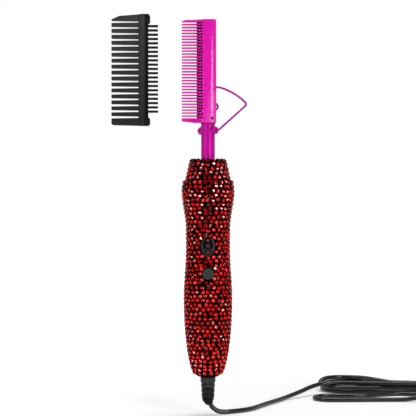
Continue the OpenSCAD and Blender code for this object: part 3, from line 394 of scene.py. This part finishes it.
# Stand: one 1.7 mm spring wire, bent to two legs, two corners and an arch, whose ends turn in the
# bosses. It is enamelled as the neck is, a little darker, and shows one thin line of light.
stand = eased("stand", "stand_wire", 0, "stand", 50)
stand.data.materials.append(magenta_enamel("magenta enamelled wire", "#a01088", "#c01ca0", "#500038"))

# Cone on the handle: moulded in black polycarbonate, with a spigot in the shells' rim and a heat-proof
# tan bush in it that holds the neck. The plastic is dull and nearly black, so the stones' gaps stay dark.
shell_plastic = moulded("black polycarbonate", "#010101", "#040303", 0.6, specular=0.02)
dress("neck_bush", moulded("tan phenolic resin", "#7a5838", "#8e6a46", 0.5))
dress("top_cone", shell_plastic)

# Handle: two black polycarbonate half shells, moulded as the cone is and joined by three zinc-plated
# screws from behind, which the stones hide.
dress("handle_front", shell_plastic)
dress("handle_back", shell_plastic)
dress("handle_screws", moulded("zinc-plated steel", "#8c8c90", "#a8a8ae", 0.3))

# Stones: some 1,250 flat-backed rhinestones of red glass, 3.8 mm across, foiled behind and glued on in
# staggered rows. Each is one table and two rings of cut facets over a short girdle, painted dark as shade
# between the stones.
stone_r = 0.0019
girdle_h, girdle_mid = 0.0007, 0.0001
crown_cuts = ((0.00030, 0.00062), (0.00048, 0.00043))
row_pitch, side_pitch = 0.00346, 0.0040
bpy.ops.object.select_all(action="DESELECT")
bpy.ops.mesh.primitive_cylinder_add(vertices=8, radius=stone_r, depth=girdle_h, end_fill_type="NGON",
                                    location=(0, 0, girdle_mid))
stone = bpy.context.object
bpy.ops.object.transform_apply(location=True, rotation=True, scale=True)
bpy.ops.object.mode_set(mode="EDIT")
bpy.ops.mesh.select_mode(type="FACE")
for inset, rise in crown_cuts:
    bpy.ops.object.mode_set(mode="OBJECT")
    top = max(stone.data.polygons, key=lambda f: f.center.z)
    for face in stone.data.polygons:
        face.select = face.index == top.index
    bpy.ops.object.mode_set(mode="EDIT")
    bpy.ops.mesh.inset(thickness=inset, depth=0)
    bpy.ops.transform.translate(value=(0, 0, rise))
    bpy.ops.transform.rotate(value=math.pi / 8, orient_axis="Z", center_override=(0, 0, 0))
bpy.ops.object.mode_set(mode="OBJECT")
bottom = min(stone.data.polygons, key=lambda f: f.center.z)
for face in stone.data.polygons:
    face.select = face.index == bottom.index
bpy.ops.object.mode_set(mode="EDIT")
bpy.ops.mesh.delete(type="FACE")
bpy.ops.mesh.select_all(action="SELECT")
bpy.ops.mesh.quads_convert_to_tris(quad_method="SHORTEST_DIAGONAL", ngon_method="CLIP")
bpy.ops.object.mode_set(mode="OBJECT")
stone_points = [v.co.copy() for v in stone.data.vertices]
stone_faces = [tuple(f.vertices) for f in stone.data.polygons]
stone_slopes = [f.normal.z for f in stone.data.polygons]
stone_turns = [math.atan2(f.center.y, f.center.x) for f in stone.data.polygons]
bpy.data.objects.remove(stone)

body_low, body_len = -0.0706, 0.157
swell_h, waist_low_h, waist_high_h, shoulder_h = 0.062, 0.101, 0.118, 0.148
end_r, swell_r, waist_r, shoulder_r, rim_r = 0.0073, 0.0181, 0.0163, 0.0197, 0.0188


def ease_between(a, b, t):
    """From a to b as t goes from 0 to 1, level at both ends."""
    return a + (b - a) * t * t * (3 - 2 * t)


def handle_r(h):
    """The handle's radius at a height above its lower end."""
    if h < swell_h:
        return end_r + (swell_r - end_r) * math.sqrt(max(0, 1 - (1 - h / swell_h) ** 2))
    if h < waist_low_h:
        return ease_between(swell_r, waist_r, (h - swell_h) / (waist_low_h - swell_h))
    if h < waist_high_h:
        return waist_r
    if h < shoulder_h:
        return ease_between(waist_r, shoulder_r, (h - waist_high_h) / (shoulder_h - waist_high_h))
    return ease_between(shoulder_r, rim_r, min(1, (h - shoulder_h) / (body_len - shoulder_h)))


window_z, window_half_w, window_half_h = 0.0340, 0.0053, 0.0078
button_z, button_hole_r = 0.0122, 0.0049
chance = random.Random(11)


def row_of_places(radius, z, lean, count, first):
    """Where the stones of one ring sit: a point on the surface and the direction that they face."""
    places = []
    for i in range(count):
        turn = 2 * math.pi * (i + first) / count
        out = Vector((math.cos(turn), math.sin(turn), 0))
        face = Vector((out.x, out.y, -lean)).normalized()
        places.append((Vector((out.x * radius, out.y * radius, z)), face))
    return places


# Degrees round from the handle's middle line, and heights at which the stones' painted light and shade
# change: a painted shade column in the middle, painted glints beside it, darker flanks, brighter foot
middle_turn, shade_edge, glint_from, glint_to, side_from = 2, 9, 8, 50, 58
upper_from, upper_over, foot_from, foot_over = 0.042, 0.02, -0.025, 0.03
table_slope, crown_slope, edge_slope = 0.95, 0.65, 0.5
glue_tilt = 2.5


def set_stones(name, places, node, finish):
    """One mesh of stones, each turned at random about its axis and tilted a little in its glue. Each facet
    is given a tone, by its slope, its stone's place on the handle and chance: painted highlights, painted
    glints and painted shade."""
    points, faces, tones = [], [], []
    for where, face in places:
        turn = Matrix.Rotation(chance.uniform(0, math.pi / 4), 3, "Z")
        lean = Matrix.Rotation(math.radians(chance.gauss(0, glue_tilt)), 3, "X") @ \
            Matrix.Rotation(math.radians(chance.gauss(0, glue_tilt)), 3, "Y")
        stand = face.to_track_quat("Z", "Y").to_matrix() @ lean @ turn
        first = len(points)
        points += [where + stand @ p for p in stone_points]
        faces += [tuple(first + k for k in f) for f in stone_faces]
        # Painted light and shade by place: a painted shade column down the middle, painted glints beside it
        # in the upper part, darker flanks and edge row, and brighter stones towards the foot.
        beside = abs(math.degrees(math.atan2(where.x, abs(where.y))) + middle_turn)
        upper = min(1, max(0, (where.z - upper_from) / upper_over))
        on_edge = face.z > edge_slope
        in_shade = beside < shade_edge and chance.random() < 0.25 + 0.7 * upper
        foot = min(1, max(0, (foot_from - where.z) / foot_over))
        painted_glint = glint_from < beside < glint_to and chance.random() < 0.08 + 0.5 * upper and not on_edge
        level = chance.uniform(0.8, 1.0) + 0.14 * foot - 0.06 * upper
        level = level - 0.1 * (beside > side_from) - 0.35 * on_edge
        # Painted highlights: facets turned towards a random side are bright and the others dark; 1.42 is a
        # painted white glint.
        lit = chance.uniform(0, 2 * math.pi)
        for slope, around in zip(stone_slopes, stone_turns):
            near = math.cos(around - lit)
            if slope > table_slope:
                tone = 1.42 if painted_glint and near > 0.4 else level if near > -0.2 else 0.4 + 0.3 * foot
                tones.append(chance.choice((0, 0.2, 0.45)) if in_shade else tone)
            elif slope > crown_slope:
                bright = chance.choice((0.8, 0.95, 1.05, 1.32)) if near > 0.15 else \
                    chance.choice((0, 0, 0.3, 0.75))
                tones.append(bright * level)
            else:
                tones.append(chance.choice((0.0, 0.5, 0.9)) if near > 0.55 else 0.0)
    mesh = bpy.data.meshes.new(name)
    mesh.from_pydata(points, [], faces)
    mesh.attributes.new("facet", "FLOAT", "FACE").data.foreach_set("value", tones)
    mesh.materials.append(finish)
    piece = bpy.data.objects.new(name, mesh)
    bpy.context.collection.objects.link(piece)
    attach(piece, "comb")
    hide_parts(node)
    return piece


# Foil-backed red glass: its colour runs from near black to full red by the tones set above, which are
# painted highlights and painted shade; the near white at the ramp's top is a painted glint.
sparks_per_metre = 1500.0
glass = new_finish("foil-backed red crystal glass")
facet = put(glass, "Attribute", attribute_name="facet")
scaled = put(glass, "Math", {0: facet.outputs["Fac"], 1: 0.7}, operation="MULTIPLY")
tone = put(glass, "ValToRGB", {"Fac": scaled.outputs[0]})
tone.color_ramp.elements[0].position, tone.color_ramp.elements[0].color = 0.0, linear("#080000")
tone.color_ramp.elements[1].position, tone.color_ramp.elements[1].color = 1.0, linear("#ffe6e2")
tone.color_ramp.elements.new(0.25).color = linear("#300003")
tone.color_ramp.elements.new(0.5).color = linear("#b80004")
tone.color_ramp.elements.new(0.66).color = linear("#ff0404")
tone.color_ramp.elements.new(0.8).color = linear("#ff0c08")
place = put(glass, "TexCoord")
depth_cloud = put(glass, "TexNoise", {"Vector": place.outputs["Object"], "Scale": sparks_per_metre,
                                       "Detail": 2.0})
gloss = put(glass, "MapRange", {"Value": depth_cloud.outputs["Fac"], "To Min": 0.06, "To Max": 0.2})
skin = put(glass, "BsdfPrincipled", {
    "Base Color": tone.outputs["Color"], "Metallic": 0.2, "Roughness": gloss.outputs["Result"],
    "Specular IOR Level": 0.12})
put(glass, "OutputMaterial", {"Surface": skin.outputs[0]})

# Rows up the handle, from its lower end to just below the rim
first_row_h, rim_gap, slope_step = 0.0038, 0.00145, 0.0005
body_places = []
row_h, row = first_row_h, 0
while row_h <= body_len - rim_gap:
    slope = (handle_r(row_h + slope_step) - handle_r(row_h - slope_step)) / (2 * slope_step)
    half_count = math.floor(math.pi * handle_r(row_h) / side_pitch)
    body_places += row_of_places(handle_r(row_h), body_low + row_h, slope, 2 * half_count,
                                 (1 - row % 2) / 2)
    row_h += row_pitch / math.hypot(1, slope)
    row += 1

# Stones that would cover the window or the button are left out or moved out to a ring round it.
window_gap, button_gap = 0.0015, 0.0014
moved_from, least_apart = 0.55, 0.0028
openings = ((window_z, window_half_w + window_gap, window_half_h + window_gap),
            (button_z, button_hole_r + button_gap, button_hole_r + button_gap))
front, moved = [], []
for where, face in [pair for pair in body_places if pair[0].y < 0]:
    reaches = [(math.hypot(where.x / half_w, (where.z - z) / half_h), z) for z, half_w, half_h in openings]
    reach, z = min(reaches)
    if reach >= 1:
        front.append((where, face))
    elif reach > moved_from:
        x = where.x / reach
        radius = math.hypot(where.x, where.y)
        moved.append((Vector((x, -math.sqrt(radius * radius - x * x), z + (where.z - z) / reach)),
                      Vector((x, -math.sqrt(radius * radius - x * x), face.z * radius)).normalized()))
for where, face in moved:
    if min((where - other).length for other, _ in front) > least_apart:
        front.append((where, face))
back = [pair for pair in body_places if pair[0].y >= 0]
set_stones("front_stones", front, "stones_front", glass)
set_stones("back_stones", back, "stones_back", glass)

# Rows up the cone, and one on its rounded edge
rim_z, cone_r, cone_top_r, cone_edge_r, cone_h = 0.0864, 0.0169, 0.014, 0.003, 0.016
cone_rows = 4
cone_lean = (cone_top_r - cone_r) / (cone_h - cone_edge_r)
cone_places = []
for i in range(cone_rows):
    up = (i + 0.5) * row_pitch
    radius = cone_r + cone_lean * up
    count = math.floor(2 * math.pi * radius / side_pitch)
    cone_places += row_of_places(radius, rim_z + up, cone_lean, count, i % 2 / 2)
edge_in = cone_edge_r * (1 - math.sin(math.pi / 4))
count = math.floor(2 * math.pi * (cone_top_r - edge_in) / side_pitch)
cone_places += row_of_places(cone_top_r - edge_in, rim_z + cone_h - edge_in, -1, count, 0)
set_stones("top_stones", cone_places, "cone_stones", glass)

# Light window: a glossy black acrylic oval in a thin satin ABS frame, let into the front shell; the
# frame's grey is a painted reflection of the glints along the window's edge. Three small dark red
# lights stand on the board and reach into holes in it.
window_gloss = moulded("glossy black acrylic", "#08090a", "#101214", 0.08, depth=0.000004, specular=0.16)
window = eased("window_pane", "light_window", 0.0003, "comb")
window.data.materials.append(window_gloss)
frame_ring = eased("window_surround", "window_frame", 0.0002, "comb")
# The frame's grey is a painted reflection of the glints along the window's edge.
frame_ring.data.materials.append(moulded("ABS in painted grey glints", "#26292b", "#3a3e41", 0.25, specular=0.3))
lights = eased("status_lights", "indicator_leds", 0, "comb", 50)
lights.data.materials.append(moulded("dark red tinted acrylic", "#5a0c10", "#7c1a1e", 0.12))

# Power button: a moulded charcoal cap with a soft-touch skin that dulls it. It goes 0.8 mm into the front
# shell, on a white nylon plunger that pushes the switch on the board.
button = eased("power_cap", "power_button", 0.0003, "button")
button.data.materials.append(moulded("charcoal soft-touch rubber", "#101213", "#181a1c", 0.6))
white_nylon = moulded("white nylon", "#d6d4cc", "#e6e4de", 0.45)
dress("switch_plunger", white_nylon)
dress("tact_switch", moulded("black glass-filled nylon", "#141414", "#202020", 0.5))

# Circuit board: glass epoxy under a glossy green solder mask, with black packages soldered to it. Two
# small zinc-plated screws hold it to the front shell's posts.
dress("circuit_board", moulded("green solder mask", "#0c4a28", "#126034", 0.3))
dress("board_parts", moulded("black epoxy packages", "#161618", "#26262a", 0.45))
dress("board_screws", moulded("zinc-plated steel small", "#8c8c90", "#a8a8ae", 0.3))

# Wires: two heater wires in a dull white glass-fibre sleeve, down the neck to the board, and two power
# wires in satin black insulation, from the swivel's brushes up to the board.
dress("heater_leads", moulded("white glass-fibre sleeve", "#c8c6c0", "#e0deda", 0.8))
dress("power_leads", moulded("black wire insulation", "#101010", "#1c1c1c", 0.45))

# Swivel: turned brass rings on the lead's bush, with brass brushes that touch them from a white nylon
# holder. The bush is black acetal, satin, and turns in the shells' end wall.
brass = moulded("turned brass", "#a8843a", "#c49a48", 0.3)
dress("brush_holder", white_nylon)
dress("contact_brushes", brass)
dress("contact_rings", brass)
dress("swivel_bush", moulded("black acetal", "#121212", "#1e1e1e", 0.4))

# Strain relief: black rubber moulded round the lead, with a collar, a tapered run of slots and grooves,
# and a tail. It turns with the lead, just clear of the handle.
relief = eased("relief", "strain_relief", 0.0002, "lead")

# Moulded rubber: paler grey on the collar and darker towards the tail, with painted shade that makes it
# black at the grooves and slots, in bands a little wider than the cuts. Each pair below is a height and how
# much of the tone is left there.
relief_low, relief_len = -0.091, 0.02
web_half_w, slot_half_w = 0.0008, 0.0014
rubber = moulded("moulded black rubber", "#2e2e30", "#3a3a3c", 0.5, specular=0.15)
place = put(rubber, "TexCoord")
where = put(rubber, "SeparateXYZ", {"Vector": place.outputs["Object"]})
along = put(rubber, "MapRange", {"Value": where.outputs["Z"], "From Min": relief_low,
                                 "From Max": relief_low + relief_len})
bands = put(rubber, "ValToRGB", {"Fac": along.outputs["Result"]})
ramp = bands.color_ramp.elements
ramp[0].position, ramp[0].color = 0, (0.2, 0.2, 0.2, 1)
ramp[1].position, ramp[1].color = 1, (1, 1, 1, 1)
for z, amount in ((-0.0890, 0.2), (-0.0887, 0), (-0.0873, 0), (-0.0870, 0.28), (-0.0811, 0.4),
                  (-0.0808, 0), (-0.0794, 0), (-0.0791, 0.8), (-0.0757, 0.9)):
    ramp.new((z - relief_low) / relief_len).color = (amount, amount, amount, 1)
slots = put(rubber, "ValToRGB", {"Fac": along.outputs["Result"]})
ramp = slots.color_ramp.elements
for z, amount in ((-0.0849, 0), (-0.0847, 1), (-0.0835, 1), (-0.0833, 0), (-0.0769, 0), (-0.0767, 1),
                  (-0.0757, 1), (-0.0755, 0)):
    ramp.new((z - relief_low) / relief_len).color = (amount, amount, amount, 1)
ramp[len(ramp) - 1].color = ramp[0].color = (0, 0, 0, 1)
side = put(rubber, "Math", {0: where.outputs["X"]}, operation="ABSOLUTE")
beside = put(rubber, "MapRange", {"Value": side.outputs[0], "From Min": web_half_w,
                                  "From Max": slot_half_w})
cut = put(rubber, "Math", {0: slots.outputs["Color"], 1: beside.outputs["Result"]}, operation="MULTIPLY")
uncut = put(rubber, "Math", {0: 1.0, 1: cut.outputs[0]}, operation="SUBTRACT")
# Painted shade: the dark groove bands and the slots' mask darken the rubber's tone.
shade = put(rubber, "Math", {0: bands.outputs["Color"], 1: uncut.outputs[0]}, operation="MULTIPLY")
shaded(rubber, shade.outputs[0])
relief.data.materials.append(rubber)

# Hank tie and plug: a matt black nylon strap round the hank, and a satin black PVC plug moulded on to the
# lead's end, with a short relief of its own and two nickel-plated brass blades.
tie = eased("hank_tie", "cord_tie", 0.0003, "lead")
tie.data.materials.append(moulded("black nylon strap", "#0e0e0e", "#1a1a1a", 0.6))
plug_pvc = moulded("moulded black PVC", "#161616", "#222222", 0.45)
plug_end = eased("plug_tail", "plug_relief", 0.0003, "lead")
plug_end.data.materials.append(plug_pvc)
plug = eased("plug", "plug_body", 0.0012, "lead")
plug.data.materials.append(plug_pvc)
blades = eased("blades", "plug_blades", 0.0002, "lead")
blades.data.materials.append(moulded("nickel-plated brass", "#b4b2aa", "#c8c6be", 0.25))

# Guard comb: moulded in one piece of charcoal heat-proof nylon, with long teeth to the left, a channel
# that takes the head's tooth plate, and short teeth to the right.
guard = eased("guard", "guard_comb", 0.00035, "guard")
nylon = moulded("charcoal glass-filled nylon", "#303031", "#404042", 0.5, specular=0.12)

# Nylon full of glass fibre: satin charcoal, with painted light that makes it paler upwards and painted
# shade that makes it nearly black beside the channel.
dark_z, pale_z = 0.135, 0.215
face_ends_x, flank_starts_x = -0.0508, -0.0502
place = put(nylon, "TexCoord")
where = put(nylon, "SeparateXYZ", {"Vector": place.outputs["Object"]})
upwards = put(nylon, "MapRange", {"Value": where.outputs["Z"], "From Min": dark_z, "From Max": pale_z,
                                  "To Min": 0.4, "To Max": 1.0})
flank = put(nylon, "MapRange", {"Value": where.outputs["X"], "From Min": face_ends_x,
                                "From Max": flank_starts_x, "To Min": 1.0, "To Max": 0.1})
# Painted light and shade: paler upwards, nearly black on the flank beside the channel.
shade = put(nylon, "Math", {0: upwards.outputs["Result"], 1: flank.outputs["Result"]}, operation="MULTIPLY")
shaded(nylon, shade.outputs[0])
guard.data.materials.append(nylon)
